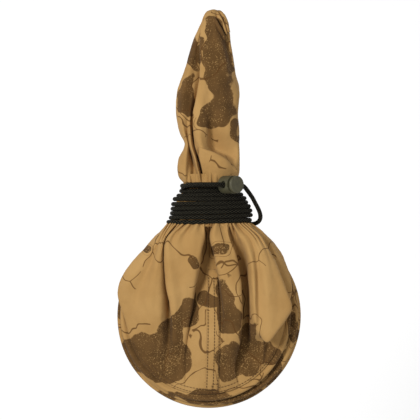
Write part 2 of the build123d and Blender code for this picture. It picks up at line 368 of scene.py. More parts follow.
def fabric_material():
    """Woven cotton printed with ragged brown patches, lines that echo them, and thin broken lines between."""
    m = Nodes("print_fabric")
    place = m.add("ShaderNodeAttribute", attribute_name=PLACE).outputs["Vector"]
    sway = m.vector("SUBTRACT", m.noise(place, 38.0, 1.0, "Color"), (0.5, 0.5, 0.5))
    warped = m.vector("ADD", place, m.vector("MULTIPLY", sway, (PATCH_SWAY,) * 3))
    inside = None
    for x, y, half_x, half_y in PATCHES:
        offset = m.vector("SUBTRACT", warped, (x * MM, y * MM, 0))
        away = m.vector("MULTIPLY", offset, (1 / half_x, 1 / half_y, 0))
        near = m.math("SUBTRACT", 1.0, m.math("MULTIPLY", m.length(away), 1 / MM))
        inside = near if inside is None else m.math("MAXIMUM", inside, near)
    inside = m.math("MULTIPLY", inside, PATCH_SLOPE)
    wander = m.math("MULTIPLY", m.math("SUBTRACT", m.noise(warped, 24.0, 2.0), 0.5), PATCH_WANDER)
    inside = m.math("ADD", inside, wander)
    # Low down and underneath, the patches are scattered evenly.
    first = m.math("SUBTRACT", m.noise(warped, 15.0, 1.0), 0.488)
    second = m.math("SUBTRACT", 0.575, m.noise(m.vector("ADD", warped, (3.1, 1.7, 5.3)), 22.0, 1.0))
    z = m.add("ShaderNodeSeparateXYZ", {0: place}).outputs[2]
    scattered = m.math("ADD", m.math("MINIMUM", first, second), m.ramp(z, *SCATTER_FADES, 0.0, -0.3))
    inside = m.math("MAXIMUM", inside, scattered)
    ragged = m.math("MULTIPLY", m.math("SUBTRACT", m.noise(place, 420.0, 3.0), 0.5), 0.012)
    patch = m.ramp(m.math("ADD", inside, ragged), -0.002, 0.003)

    cloud = m.noise(place, 26.0, 3.0)
    ground = m.mix(m.ramp(cloud, 0.35, 0.65), TAN, TAN_DEEP)
    brown = m.mix(m.ramp(m.noise(place, 60.0), 0.35, 0.7), BROWN, BROWN_DEEP)
    density = m.ramp(m.noise(place, 34.0), 0.38, 0.64, 0.66, 0.56)
    speck = m.ramp(m.math("SUBTRACT", m.noise(place, 820.0), density), 0.0, 0.05)
    brown = m.mix(m.math("MULTIPLY", speck, 0.6), brown, TAN)
    colour = m.mix(patch, ground, brown)

    cells = m.add("ShaderNodeTexVoronoi", {"Vector": warped, "Scale": 17.0}, feature="DISTANCE_TO_EDGE")
    edge = m.ramp(cells.outputs[0], 0.0055, 0.0105, 0.85, 0.0)
    shown = m.ramp(m.noise(place, 19.0, 1.0), 0.49, 0.495)
    echo = m.ramp(m.math("ABSOLUTE", m.math("ADD", inside, 0.034)), 0.0022, 0.0042, 0.85, 0.0)
    echo_shown = m.ramp(m.noise(m.vector("ADD", place, (7.0, 2.0, 4.0)), 17.0, 1.0), 0.5, 0.505)
    line = m.math("MAXIMUM", m.math("MULTIPLY", edge, shown), m.math("MULTIPLY", echo, echo_shown))
    m.put(m.shader.inputs["Base Color"], m.mix(line, colour, LINE))

    m.put(m.shader.inputs["Roughness"], m.ramp(cloud, 0.3, 0.7, 0.8, 0.92))
    m.shader.inputs["Sheen Weight"].default_value = 0.04
    m.shader.inputs["Sheen Roughness"].default_value = 0.5
    m.shader.inputs["Specular IOR Level"].default_value = 0.18
    threads = [
        m.add("ShaderNodeTexWave", {"Vector": place, "Scale": 480.0, "Distortion": 0.7, "Detail": 1.0},
              bands_direction=axis).outputs[1]
        for axis in ("X", "Y")
    ]
    weave = m.math("MULTIPLY", m.math("ADD", *threads), 0.13)
    m.bump(m.math("ADD", weave, m.noise(place, 120.0, 3.0)), 0.9)
    return m.material


# The braid's pitch along the cord, in metres, and its strands round it. The cord's own coordinate runs from
# 0 to 1, so the pitch is counted over its rough length.
BRAID_PITCH = 0.003
BRAID_STRANDS = 6
CORD_ROUGH_LENGTH = 1.7


def cord_material():
    """Black braid: two families of slanting strands, from the cord's own length and girth coordinates. Their
    crests carry a painted highlight.
    """
    m = Nodes("braided_cord")
    uv = m.add("ShaderNodeSeparateXYZ", {0: m.add("ShaderNodeUVMap").outputs[0]})
    along = m.math("MULTIPLY", uv.outputs[0], TURN * CORD_ROUGH_LENGTH / BRAID_PITCH)
    around = m.math("MULTIPLY", uv.outputs[1], BRAID_STRANDS * TURN)
    braid = m.math("MAXIMUM", m.math("SINE", m.math("ADD", along, around)),
                   m.math("SINE", m.math("SUBTRACT", along, around)))
    place = m.add("ShaderNodeTexCoord").outputs["Object"]
    dark = (0.0005, 0.0004, 0.0002, 1)
    # A painted highlight: the braid's crests are painted in this paler colour.
    painted_highlight = (0.062, 0.054, 0.035, 1)
    fleck = (0.05, 0.044, 0.03, 1)
    # The painted highlight goes on the crests of the strands.
    colour = m.mix(m.ramp(braid, 0.88, 1.0, 0.0, 1.0), dark, painted_highlight)
    colour = m.mix(m.ramp(m.noise(place, 900.0), 0.6, 0.76, 0.0, 0.35), colour, fleck)
    m.put(m.shader.inputs["Base Color"], colour)
    m.shader.inputs["Roughness"].default_value = 0.7
    m.shader.inputs["Specular IOR Level"].default_value = 0.1
    m.bump(braid, 0.6, 1.0)
    return m.material


def plain_material(name, light, dark, roughness, scale, metallic=0.0, bump_mm=0.05):
    """Plastic, metal or thread: two close shades, uneven roughness and a fine grain."""
    m = Nodes(name)
    place = m.add("ShaderNodeTexCoord").outputs["Object"]
    m.put(m.shader.inputs["Base Color"], m.mix(m.ramp(m.noise(place, scale, 3.0), 0.35, 0.65), light, dark))
    worn = m.ramp(m.noise(place, scale * 2.3), 0.3, 0.7, roughness - 0.07, roughness + 0.07)
    m.put(m.shader.inputs["Roughness"], worn)
    m.shader.inputs["Metallic"].default_value = metallic
    m.bump(m.noise(place, scale * 9), bump_mm, 0.5)
    return m.material


fabric = fabric_material()
thread = plain_material("seam_thread", (0.13, 0.06, 0.012, 1), (0.08, 0.035, 0.008, 1), 0.75, 700)
cord_finish = cord_material()
plastic = plain_material("lock_plastic", (0.068, 0.062, 0.03, 1), (0.052, 0.047, 0.023, 1), 0.5, 260)
steel = plain_material("spring_wire", (0.5, 0.51, 0.53, 1), (0.36, 0.37, 0.39, 1), 0.32, 320, 1.0)
alloy = plain_material("ferrule_metal", (0.66, 0.66, 0.68, 1), (0.5, 0.5, 0.52, 1), 0.4, 320, 1.0)

KEPT_NODES = {"cord_lock_housing": plastic, "cord_lock_plunger": plastic}
for hoop in HOOPS:
    KEPT_NODES[f"{hoop.name}_wire"] = steel
    KEPT_NODES[f"{hoop.name}_ferrule"] = alloy
for node, finish in KEPT_NODES.items():
    for material_slot in frame["nodes"][node].material_slots:
        material_slot.link = "OBJECT"
        material_slot.material = finish

# ---- camera, light and floor ----

LENS = 200.0
SENSOR = 36.0
VIEW_WIDTH = 0.42
VIEW_CENTRE = (0.001, 0.107)
# The view's width holds at this height, near the front hoop's.
CAMERA_LIFT = 0.02
camera_data = bpy.data.cameras.new("camera")
camera_data.lens = LENS
camera_data.sensor_width = SENSOR
camera_data.clip_end = 20
camera = bpy.data.objects.new("camera", camera_data)
camera.location = (*VIEW_CENTRE, VIEW_WIDTH * LENS / SENSOR + CAMERA_LIFT)
bpy.context.scene.collection.objects.link(camera)
bpy.context.scene.camera = camera
bpy.context.scene.view_settings.view_transform = "Standard"


def area_light(name, place, aim, size, power):
    light = bpy.data.lights.new(name, "AREA")
    light.shape = "DISK"
    light.size = size
    light.energy = power
    obj = bpy.data.objects.new(name, light)
    obj.location = place
    obj.rotation_euler = (Vector(aim) - Vector(place)).to_track_quat("-Z", "Y").to_euler()
    bpy.context.scene.collection.objects.link(obj)


LIGHT_AIM = (0, 0.1, 0)
area_light("key", (-0.75, 0.42, 1.35), LIGHT_AIM, size=0.5, power=19)
area_light("fill", (0.9, -0.5, 1.5), LIGHT_AIM, size=1.2, power=5)
world = bpy.data.worlds.new("studio")
world.use_nodes = True
world.node_tree.nodes["Background"].inputs[0].default_value = (1, 1, 1, 1)
world.node_tree.nodes["Background"].inputs[1].default_value = 0.45
bpy.context.scene.world = world

floor_material = Nodes("floor")
floor_material.shader.inputs["Base Color"].default_value = (0.95, 0.95, 0.95, 1)
floor_material.shader.inputs["Roughness"].default_value = 0.9
floor_material.shader.inputs["Emission Color"].default_value = (1, 1, 1, 1)
floor_material.shader.inputs["Emission Strength"].default_value = 0.26
# The floor lies far below the object, so that no shadow falls beside it in the picture.
FLOOR_HALF, FLOOR_Z = 4000, -900
corners = [(x * FLOOR_HALF, y * FLOOR_HALF, FLOOR_Z) for x, y in ((-1, -1), (1, -1), (1, 1), (-1, 1))]
floor = mesh_object("floor", corners, [(0, 1, 2, 3)], floor_material.material, smooth=False)


def cloth(name, grid, *nodes, body=None, **how):
    """A printed cloth through a grid, with the CAD nodes it stands for and its body, if it isn't blended."""
    obj = sheet_object(name, grid, fabric, **how)
    if nodes:
        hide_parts(*nodes)
    if body:
        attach(obj, body)
    return obj


# ---- hoops: casings, folded walls and base panel ----

CASING_BAND = 12.0
AROUND = np.linspace(0, 360, 360, endpoint=False)
for number, hoop in enumerate(HOOPS):
    # A round tube over the wire, pinched at its seam, with the two layers of its band lying inwards.
    tube = [(hoop.tube * math.cos(a), hoop.tube * math.sin(a)) for a in np.linspace(-2.45, 2.45, 13)]
    section = [(-CASING_BAND, -0.35), (-9.5, -0.55), (-5.4, -0.6), (-3.4, -0.75)] + tube
    section += [(-3.4, 0.75), (-5.4, 0.6), (-9.5, 0.55), (-CASING_BAND, 0.35)]
    ring = np.array([hoop.at(hoop.outer, degrees, 50.0 * number) for degrees in AROUND])
    pucker = fractal(ring, 9, 2, 4.4 + number)
    slow = fractal(ring, 60, 1, 1.4 + number)
    grid = np.array([
        [hoop.at(hoop.outer - hoop.tube + out + 0.35 * slow[i], degrees,
                 max(0.02, hoop.z + up * (1 + 0.12 * pucker[i]) + (0.25 * pucker[i] if out < -3 else 0)))
         for out, up in section]
        for i, degrees in enumerate(AROUND)
    ])
    cloth(f"{hoop.name}_casing_cloth", grid, f"{hoop.name}_casing", body=hoop.body,
                               closed=True, flip=True, thick=0)
    seam = [hoop.at(hoop.outer - SEAM_IN, degrees, hoop.z + 0.85) for degrees in np.arange(361)]
    stitches(f"{hoop.name}_casing_stitches", [seam], hoop.body)

# Where a wall's fold is pushed out past the hoops instead of lying inside: degrees, how far out, half width.
OUTWARD_FOLDS = {
    "lower_wall": [(-16, 5.5, 4), (-4, 3.0, 3), (9, 4.5, 3.5), (21, 2.5, 3), (32, 6.0, 4), (196, 1.5, 5)],
    "upper_wall": [(-22, 6.0, 4), (-10, 9.5, 5), (3, 8.5, 3.5), (14, 11.0, 4), (26, 9.0, 3.5), (38, 13.0, 5),
                   (150, 6.5, 5)],
}
WALL_ROWS = 320
# A wall's section: the share of its height, and the share of its fold's depth.
WALL_SECTION = ((0, 0), (0.1, 0.18), (0.25, 0.55), (0.4, 0.92), (0.5, 1), (0.6, 0.92), (0.75, 0.55),
                (0.9, 0.18), (1, 0))


def bell(degrees, at, half):
    """1 at a place round a hoop, falling to nothing beyond half degrees on both sides of it."""
    return math.exp(-(((degrees - at + 180) % 360 - 180) / half) ** 2)


for (name, folds), below, above in zip(OUTWARD_FOLDS.items(), HOOPS, HOOPS[1:]):
    places = points_mm(frame["nodes"][name])
    centre = (below.x + above.x) / 2, (below.y + above.y) / 2
    reach = np.hypot(places[:, 0] - centre[0], places[:, 1] - centre[1])
    inner, outer = reach.min(), reach.max()
    bottom, top = below.z + 0.8, above.z - 0.8
    grid = []
    for i in range(WALL_ROWS):
        degrees = 360 * i / WALL_ROWS
        a = math.radians(degrees)
        push = max(bell(degrees, at, half) for at, _, half in folds)
        out = sum(far * bell(degrees, at, half) for at, far, half in folds)
        crumple = noise.noise(Vector((4 * math.cos(a), 4 * math.sin(a), bottom)))
        ripple = noise.noise(Vector((34 * math.cos(a), 34 * math.sin(a), top)))
        share = min(1.0, 1.35 * push)
        fold = (inner + 1 + 2 * crumple) * (1 - share) + (outer + 1.5 + out) * share
        line = []
        for s, depth in WALL_SECTION:
            r = outer + (fold - outer) * depth
            z = bottom + (top - bottom) * s + 1.6 * ripple * depth
            line.append((centre[0] + r * math.cos(a), centre[1] + r * math.sin(a), z))
        grid.append(line)
    rows = through(np.array(grid).transpose(1, 0, 2), 34).transpose(1, 0, 2)
    wall = cloth(f"{name}_cloth", rows, name, closed=True, flip=True, thick=0.4)
    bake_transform(wall)

panel_low, panel_high = box_mm("base_panel")
PANEL_R = (panel_high[0] - panel_low[0]) / 2 - 0.5
grid = []
for degrees in np.arange(0, 360, 2):
    line = [BACK.at(r, degrees, 0) for r in np.linspace(0, PANEL_R, 46)]
    swell = fractal(line, 17, 1, 4.0)
    grid.append([(x, y, 0.75 + 0.15 * swell[k]) for k, (x, y, _) in enumerate(line)])
panel = cloth("base_panel_cloth", np.array(grid), "base_panel", body=BACK.body, closed=True)

# ---- the sleeve's front ----
# Each guide runs down one fold: where it leaves the neck (degrees round the neck), points between, and where
# it meets the front hoop's seam (degrees round the hoop). They go once round, from the left over the front.

SLEEVE_GUIDES = [
    # the left panel, from its tucked side
    (214, [(-47, 84, 16), (-58, 70, 19), (-65, 59, 20.5)], 140),
    (200, [(-53, 81, 23), (-68, 63, 22), (-80, 46, 21)], 153),
    (186, [(-54, 78, 31), (-72, 58, 30), (-88, 36, 25), (-90, 24, 20.5)], 166),
    (173, [(-50, 78, 36), (-64, 58, 37), (-80, 35, 33), (-87, 11, 23)], 184),
    (161, [(-47.5, 78, 38), (-57, 56, 36), (-68, 31, 33), (-76, 3, 26)], 198),
    (152, [(-45.5, 78, 42), (-53, 56, 42), (-60, 28, 40), (-66, -4, 31)], 211),
    (145, [(-44, 79, 43), (-49, 58, 44), (-52.5, 28, 42.5), (-56, -6, 34.5), (-56, -36, 23)], 223),
    (140, [(-43.5, 79, 41), (-46.5, 59, 42), (-47, 30, 41), (-48, -4, 35), (-49, -36, 24)], 232),
    # the crease beside it, and the lobe whose edge lies over the crease
    (136, [(-39.5, 79, 30), (-40, 60, 24), (-40, 36, 22), (-40, 5, 22.5), (-41, -32, 20)], 238),
    (134, [(-40, 79, 38), (-41.5, 60, 37), (-41, 36, 35), (-37.5, 7, 32), (-37.5, -30, 24)], 240.5),
    (131, [(-42, 79, 43.5), (-44, 60, 43.5), (-42.5, 36, 42), (-37.5, 9, 38), (-35.5, -28, 26.5)], 242.5),
    (126, [(-38, 79, 47), (-39.5, 60, 48), (-38, 36, 46), (-33.5, 8, 40), (-33, -28, 27)], 245),
    (117, [(-29, 79, 46), (-29.5, 60, 47), (-29, 36, 44.5), (-27, 8, 37.5), (-29, -30, 25)], 248),
    (107, [(-18, 80, 48.5), (-19.5, 60, 49), (-21, 36, 45.5), (-22, 6, 37), (-26, -31, 25)], 250.5),
    (101, [(-8, 81, 50), (-10.5, 61, 49), (-14, 38, 45), (-18, 8, 36.5), (-24, -28, 24.5)], 252.5),
    # the deep fold in the middle
    (98, [(-4.5, 81, 45), (-8, 61, 44), (-12, 38, 40), (-17, 8, 33), (-23.3, -28, 23)], 254),
    (96, [(-6.5, 80, 31), (-11.5, 60, 28), (-15, 37, 26), (-19, 8, 24.5), (-24, -28, 20)], 255.5),
    (93, [(-3.5, 80, 24.5), (-6.5, 60, 24), (-9, 38, 25.5), (-13.5, 10, 29), (-19, -28, 25)], 258),
    (90, [(-1, 80, 24.5), (-1.5, 60, 24.8), (-2.5, 38, 29), (-5, 10, 34.5), (-10, -28, 30)], 263),
    (87, [(1.2, 80, 25), (3.5, 60, 25.5), (4.5, 38, 31), (4.5, 10, 37.5), (2, -30, 33)], 272),
    (84, [(4, 80, 31), (8.5, 60, 28), (10, 38, 31), (12, 10, 37.5), (11.5, -30, 33)], 280),
    # the right middle panel, with a rolled edge over the valley on its right
    (82, [(1.5, 81, 45), (6, 61, 45), (10.5, 38, 44), (15, 9, 43.5), (16.5, -26, 36.5)], 284.5),
    (78, [(6, 81, 49.5), (12, 61, 49.5), (16.5, 37, 48), (20.5, 8, 47), (21, -25, 40),
          (18, -52, 28)], 288),
    (71, [(14.5, 80, 49), (21, 60, 50), (25, 36, 49), (27.5, 8, 47.5), (26.5, -23, 40.5),
          (21.5, -52, 27.5)], 291.5),
    (66, [(20, 80, 46), (27, 60, 47), (31, 36, 46), (32.5, 8, 44), (31, -22, 37), (25.5, -51, 25)], 294),
    (64, [(18.5, 80, 39), (25, 60, 36), (28, 36, 30), (28.5, 8, 24), (27.5, -22, 20.5),
          (25, -51, 18.8)], 296),
    (61, [(23.5, 80, 33), (30, 60, 28), (33.5, 36, 22.5), (35, 8, 19.3), (34.5, -22, 18.9),
          (31, -50, 18.8)], 299),
    (57, [(28.5, 80, 37), (35.5, 60, 33), (39, 36, 27.5), (40, 8, 23), (39.5, -18, 20),
          (38, -44, 18.8)], 303),
    # a narrow ridge and the big right flap, which ends in a free corner
    (54, [(31.5, 80, 44), (38.5, 60, 44.5), (41, 36, 42), (41.5, 8, 38), (42, -14, 29),
          (44, -36, 20)], 307),
    (50, [(36, 80, 47), (42, 60, 48.5), (44.5, 36, 47), (45.5, 8, 44.5), (46.5, -12, 38.5),
          (50, -26, 24)], 311),
    (46, [(40.5, 80, 44), (46.5, 60, 44.5), (48.5, 36, 42.5), (49.5, 8, 41), (50.5, -15, 39),
          (54, -25, 26)], 315),
    (42, [(45, 80, 45.5), (53, 60, 47.5), (56.5, 36, 47.5), (58, 8, 45.5), (57.5, -24, 42),
          (52, -15, 29), (56.5, -29, 19.5)], 319.5),
    (35, [(49, 80, 42.5), (58.5, 60, 45), (64.5, 36, 45.5), (68, 8, 44), (69.5, -10, 41.5), (61, -3, 29),
          (63, -20, 19.5)], 326),
    (26, [(51.5, 81, 38), (62.5, 62, 40), (72, 38, 41.5), (82, 9, 40), (78.5, 5, 33), (70.5, 2, 26),
          (69, -9, 20.5)], 333),
    # the flap's return and the layers behind it
    (17, [(50.5, 82, 30), (59.5, 64, 31), (68, 42, 32), (75, 18, 30), (74, 7, 25), (71.5, 2, 20.5)], 341),
    (7, [(54, 82, 27), (64.5, 67, 29), (74, 49, 28.5), (81.5, 30, 26), (80, 14, 21.5)], 352),
    (-4, [(55.5, 83, 22), (66, 70, 22), (77, 51, 21), (79, 33, 20.5)], 8),
    (-20, [(50, 85, 17.5), (62, 74, 20), (71, 60, 22), (67, 48, 20.5)], 28),
    # the far side's slack, which lies folded inside the drum and comes back out over the hoop to the neck
    (-45, [(38, 86, 18), (42, 79, 21), (40, 58, 22), (27, 16, 22.2), (25, 11, 20.4), (37, 44, 18.9)], 50),
    (-75, [(13.5, 88.5, 14.5), (14.5, 83.5, 20.6), (14, 60, 22), (12, 2, 22.2), (11, -3, 20.4),
          (17, 40, 18.9)], 72),
    (-105, [(-12.5, 88.5, 14.5), (-13.5, 83.5, 20.6), (-14, 60, 22), (-12, 2, 22.2), (-11, -3, 20.4),
          (-15, 40, 18.9)], 96),
    (-135, [(-36, 87, 17.5), (-41, 79, 21), (-39, 58, 22), (-29, 16, 22.2), (-27, 11, 20.4),
          (-36, 44, 18.9)], 118),
]
ACROSS, DOWN = 420, 130
SLACK_SHARE = 0.16
RUFFLE_HIGH, RUFFLE_PITCH = 0.75, 4.2
lines = [[neck(start), *between, rim(end)] for start, between, end in SLEEVE_GUIDES]
rows = relax_grid(guide_grid(lines, ACROSS, DOWN, closed=True), 2, closed=True)
normal = grid_normals(rows, closed=True)
down = np.linspace(0, 1, DOWN)[None, :]
across = np.linspace(0, 66, ACROSS)[:, None] + 0 * down
ends_still = np.clip(np.minimum(down / 0.06, (1 - down) / 0.05), 0, 1)
strands = fractal(np.dstack([across, 8 * down + 0 * across, 0 * across]), 1.7, 2, 5.0)
broad = fractal(rows, 15, 2, 6.0, (1, 2.2, 1))
fine = fractal(rows, 5.5, 2, 9.0, (1, 1.6, 1))
rise = ends_still * (0.8 * broad + 0.24 * fine + 1.0 * strands * (1 - down) ** 1.5)
# The far side's slack, folded inside the drum, is finely ruffled. It shows only from inside, and how fine it
# is has no source in the photograph.
slack = np.zeros((ACROSS, DOWN))
slack[-int(SLACK_SHARE * ACROSS):] = 1
slack = np.minimum(slack, ends_still) * (np.hypot(rows[:, :, 0], rows[:, :, 1]) < SEAM_R - 3)
rows += normal * (rise * (1 - 0.9 * slack))[:, :, None]
rows[:, :, 2] += RUFFLE_HIGH * slack * np.sin(TURN * rows[:, :, 0] / RUFFLE_PITCH)
gathers = 2.3 * np.sin(across * 2.9 + 2 * np.sin(across * 0.7)) * np.exp(-((down / 0.17) ** 2))
rows[:, :, 2] += gathers * (rows[:, :, 2] > NECK_Z - 4)
sleeve = cloth("sleeve_front_cloth", rows, "sleeve_front", body=FRONT.body, closed=True)

# ---- the seam placket and the edge stitching, laid on the sleeve ----

bpy.context.view_layer.update()


def drop(x, y, lift=0.0, top=80.0):
    """The sleeve's upper surface under a plan point, with lift added."""
    hit, place, _, _ = sleeve.ray_cast(Vector((x * MM, y * MM, top * MM)), Vector((0, 0, -1)))
    return (x, y, (place.z / MM if hit else SEAM_Z) + lift)


def laid(line, lift, spacing=1.5):
    """A plan line laid on the sleeve."""
    p = np.array(line, float)
    run = np.concatenate([[0], np.cumsum(np.linalg.norm(np.diff(p, axis=0), axis=1))])
    at = np.arange(0, run[-1], spacing)
    path = np.array([drop(np.interp(s, run, p[:, 0]), np.interp(s, run, p[:, 1]), lift) for s in at])
    for _ in range(2):
        path[1:-1, 2] = (path[:-2, 2] + path[1:-1, 2] + path[2:, 2]) / 3
    return path


placket_low, placket_high = box_mm("seam_placket")
PLACKET_X = (placket_low[0] + placket_high[0]) / 2
PLACKET_HALF = (placket_high[0] - placket_low[0]) / 2
placket_y = np.arange(placket_high[1] - 14, placket_low[1], -1.5)
middle = PLACKET_X + 1.6 * np.sin((placket_y - placket_low[1]) / 45)
narrow = np.clip(0.55 + (placket_high[1] - placket_y) / 110, 0, 1)
# Across the placket: the share of its half width, and the height over the sleeve.
PLACKET_SECTION = ((-1, 0.15), (-0.94, 0.75), (-0.5, 1.0), (0, 1.05), (0.06, 1.3), (0.5, 1.25), (0.94, 0.8),
                   (1, 0.15))
grid = [
    [drop(x + side * PLACKET_HALF * share, y, lift) for x, y, share in zip(middle, placket_y, narrow)]
    for side, lift in PLACKET_SECTION
]
grid = relax_grid(np.array(grid), 2)
placket = cloth("seam_placket_cloth", grid, "seam_placket", body=FRONT.body, flip=True, thick=0.4)

# Three rows of stitches down the placket, a box at its foot, and two rows beside the hoop's seam.
seams = []
stitched = placket_y < placket_high[1] - 20
for side in (-0.8, 0.13, 0.78):
    seams.append(laid(np.column_stack([middle + side * PLACKET_HALF * narrow, placket_y])[stitched], 1.7))
box_left, box_right = PLACKET_X, PLACKET_X + PLACKET_HALF
box_top, box_foot = placket_low[1] + 7, placket_low[1] + 1
box = [(box_left, box_top), (box_right, box_top), (box_right, box_foot), (box_left, box_foot)]
seams.append(laid(box + box[:1], 1.9, 0.8))
seams.append(laid([FRONT.at(SEAM_R - 2, degrees, 0)[:2] for degrees in range(200, 334)], 0.4))
seams.append(laid([FRONT.at(SEAM_R - 6, degrees, 0)[:2] for degrees in range(222, 300)], 0.4))
sleeve_stitches = stitches("sleeve_stitches", seams, FRONT.body)

# ---- the gathered neck under the cord ----

NECK_FOLDS = 13
NECK_AROUND = 260
NECK_LONG = NECK_END - NECK_START
WAIST_DEPTH, WAIST_Y, WAIST_HALF = 4.5, 128, 9


def waist(y):
    """How far the neck draws in under the upper turns of the cord."""
    return WAIST_DEPTH * np.exp(-(((y - WAIST_Y) / WAIST_HALF) ** 2))


grid = []
for a in TURN * np.arange(NECK_AROUND) / NECK_AROUND:
    line = []
    for share in np.linspace(0, 1, 34):
        half_x = NECK_WIDE + (NECK_NARROW - NECK_WIDE) * share - waist(NECK_START + NECK_LONG * share)
        fold = math.sin(NECK_FOLDS * a + 2.2 * math.sin(3 * a) + 0.8 * share) * (1.5 - 0.5 * share)
        x = NECK_X + (half_x + 0.3 + fold) * math.cos(a)
        z = NECK_Z + (NECK_HALF_Z + 0.8 * fold) * math.sin(a)
        line.append((x, NECK_START + 0.3 + (NECK_LONG - 0.4) * share, z))
    grid.append(line)
gathered_neck = cloth("neck_gathers", np.array(grid), "neck_core", body=BODY_OF["neck_core"], closed=True,
                      thick=0)

# ---- the tail: its front, foot fold, tip folds, return and hem ----

# Each guide runs from the cord to the tip. They go once round, from the left side over the front.
TAIL_GUIDES = [
    # the left side
    [(-22, 139, 20), (-22, 160, 19), (-24, 181, 18), (-28, 202, 17), (-28, 223, 15.5), (-21, 247, 14),
     (-13, 276, 11.5), (-7, 293, 10), (-2, 303, 9.5)],
    [(-28, 139, 27), (-27, 158, 27), (-23, 172, 26), (-28, 185, 25), (-31.5, 200, 23), (-31.5, 223, 21),
     (-24, 247, 18), (-14.6, 278, 14.5), (-8, 294, 12.5), (-2.5, 304, 11)],
    [(-30, 141, 34), (-29.5, 157, 34), (-23.5, 172, 34), (-28, 184, 33), (-31.5, 199, 31),
     (-31, 223, 27), (-23.5, 247, 22), (-14.2, 278, 17.5), (-7.7, 294, 15), (-2.5, 305, 12.5)],
    # the left strip, which runs down into two tubular folds
    [(-23, 142, 42), (-22.5, 158, 43), (-21.5, 172, 42), (-25, 185, 42.5), (-27, 200, 40),
     (-26, 223, 34), (-19.5, 247, 27.5), (-11.5, 278, 21.5), (-6.4, 294, 17.5), (-2, 305.3, 14)],
    [(-12.8, 142, 34), (-16.6, 158, 28), (-20.3, 172, 29), (-22, 184, 37), (-21, 200, 38),
     (-19, 223, 32), (-14.5, 247, 26.5), (-9.8, 278, 21), (-6, 294, 17.5), (-1.8, 305.5, 14)],
    [(-10, 142, 46), (-13.8, 158, 45.5), (-17.8, 171, 44.5), (-19, 183, 42.5), (-18.5, 200, 37.5),
     (-15.5, 223, 31), (-11.5, 247, 26), (-8.2, 278, 20.5), (-5.6, 294, 17), (-1.6, 305.5, 14)],
    [(-7, 142, 34), (-10.8, 158, 27), (-14.6, 171, 26), (-16, 185, 28), (-15.5, 201, 30),
     (-11.5, 221, 27), (-6.5, 247, 24), (-5.5, 278, 19.5), (-4.4, 294, 16.5), (-1.4, 305.5, 14)],
    [(-5.2, 142, 44), (-9, 158, 43), (-13.2, 171, 40), (-14.6, 185, 36), (-13, 201, 35), (-9.5, 220, 33),
     (-5, 246, 30), (-5.2, 278, 24.5), (-4.2, 294, 20), (-1.2, 305.5, 15)],
    # the front panel, whose left edge lies over the strip
    [(-4.2, 142, 40), (-7.6, 157, 40), (-12.4, 171, 42), (-15, 186, 44.5), (-15.5, 203, 43.5),
     (-12, 219, 42), (-8.5, 245, 37.5), (-8.5, 278, 29.5), (-6.2, 294, 23.5), (-0.8, 306, 17)],
    [(-1, 142, 46), (-3.5, 157, 47), (-8, 171, 47.5), (-10, 187, 49), (-9, 203, 48), (-7, 219, 45.5),
     (-3.5, 245, 41), (-4.5, 278, 32.5), (-3, 295, 26), (0.5, 306.6, 18)],
    [(5, 142, 47), (2.5, 157, 47.5), (-2.6, 170, 43), (-3.4, 187, 45.5), (-3, 203, 45.5), (0.5, 219, 44),
     (4, 245, 40), (2, 278, 32), (1.5, 296, 26), (3, 307, 18.5)],
    [(11, 142, 46), (9.5, 157, 47), (4, 168, 31), (1.6, 186, 35.5), (4, 203, 41.5), (8, 219, 44),
     (11.5, 245, 39), (8.5, 278, 31), (6, 296, 24.5), (6, 306.6, 18)],
    [(17, 142, 44), (17.5, 155, 44.5), (14.5, 164, 33), (11.5, 186, 42), (14, 202, 44.5), (15, 219, 42),
     (17.5, 245, 36.5), (13, 277, 27), (10, 293, 19), (9, 305.5, 15)],
    [(23, 142, 40), (24, 152, 40), (23, 161, 33), (22, 186, 41), (22, 202, 40), (22, 219, 37),
     (21.5, 245, 31.5), (17, 272, 22), (14.5, 292, 16.5), (12.5, 304, 14)],
    # the right side and underneath
    [(28, 143, 34), (29, 157, 35), (28.6, 168, 34), (28.6, 186, 33), (27.6, 202, 32), (28.6, 221, 30),
     (25, 245, 26), (21.6, 268, 21), (18.3, 292, 17), (15, 302, 13.5)],
    [(28.5, 141, 27), (29, 157, 26), (29.2, 170, 25), (29.2, 186, 24), (28.2, 204, 21), (30, 228, 19),
     (25.6, 245, 18), (22.3, 268, 15.5), (19.3, 292, 13.5), (15.5, 302, 11)],
    [(23, 139, 20), (24, 160, 19), (25, 178, 18), (25, 202, 16.5), (25.5, 226, 15.5), (22, 248, 13.5),
     (19, 268, 12.5), (16.5, 292, 11.5), (13, 301, 9.5)],
    [(10, 140, 13.5), (10, 158, 12), (11, 178, 14), (10, 202, 15), (10, 226, 14.5), (10, 248, 13),
     (9, 270, 12), (9, 292, 11), (8, 302, 9.5)],
    [(-10, 140, 13.5), (-10, 158, 12), (-11, 178, 14), (-14, 202, 15), (-13, 226, 14.5), (-8, 248, 13),
     (-4, 272, 12), (-1, 292, 11), (2, 303, 9.5)],
]
# Every guide starts tucked under the cord, rounds the tip and closes on one point inside it.
TIP = np.array((5, 303.5, 10.5))
TIP_Y = 306.8
TUCKED_Y = 134.5
ACROSS, UP = 250, 170
tail_lines = []
for line in TAIL_GUIDES:
    x, _, z = line[0]
    tucked = (0.84 * x, TUCKED_Y, NECK_Z + 0.9 * (z - NECK_Z))
    rounded = (np.array(line[-1]) + TIP) / 2
    tail_lines.append([tucked, *line, (rounded[0], TIP_Y, rounded[2]), tuple(TIP)])
rows = relax_grid(guide_grid(tail_lines, ACROSS, UP, closed=True), 2, closed=True)
normal = grid_normals(rows, closed=True)
rise = 0.75 * fractal(rows, 13, 2, 41.0, (1, 2.4, 1)) + 0.25 * fractal(rows, 5, 2, 43.0, (1, 1.8, 1))
rows += normal * rise[:, :, None]
up = np.linspace(0, 1, UP)[None, :]
gathers = 1.4 * np.sin(rows[:, :, 0] * 0.95 + 1.5 * np.sin(rows[:, :, 0] * 0.31)) * np.exp(-((up / 0.1) ** 2))
rows[:, :, 2] += gathers * (rows[:, :, 2] > NECK_Z + 3)
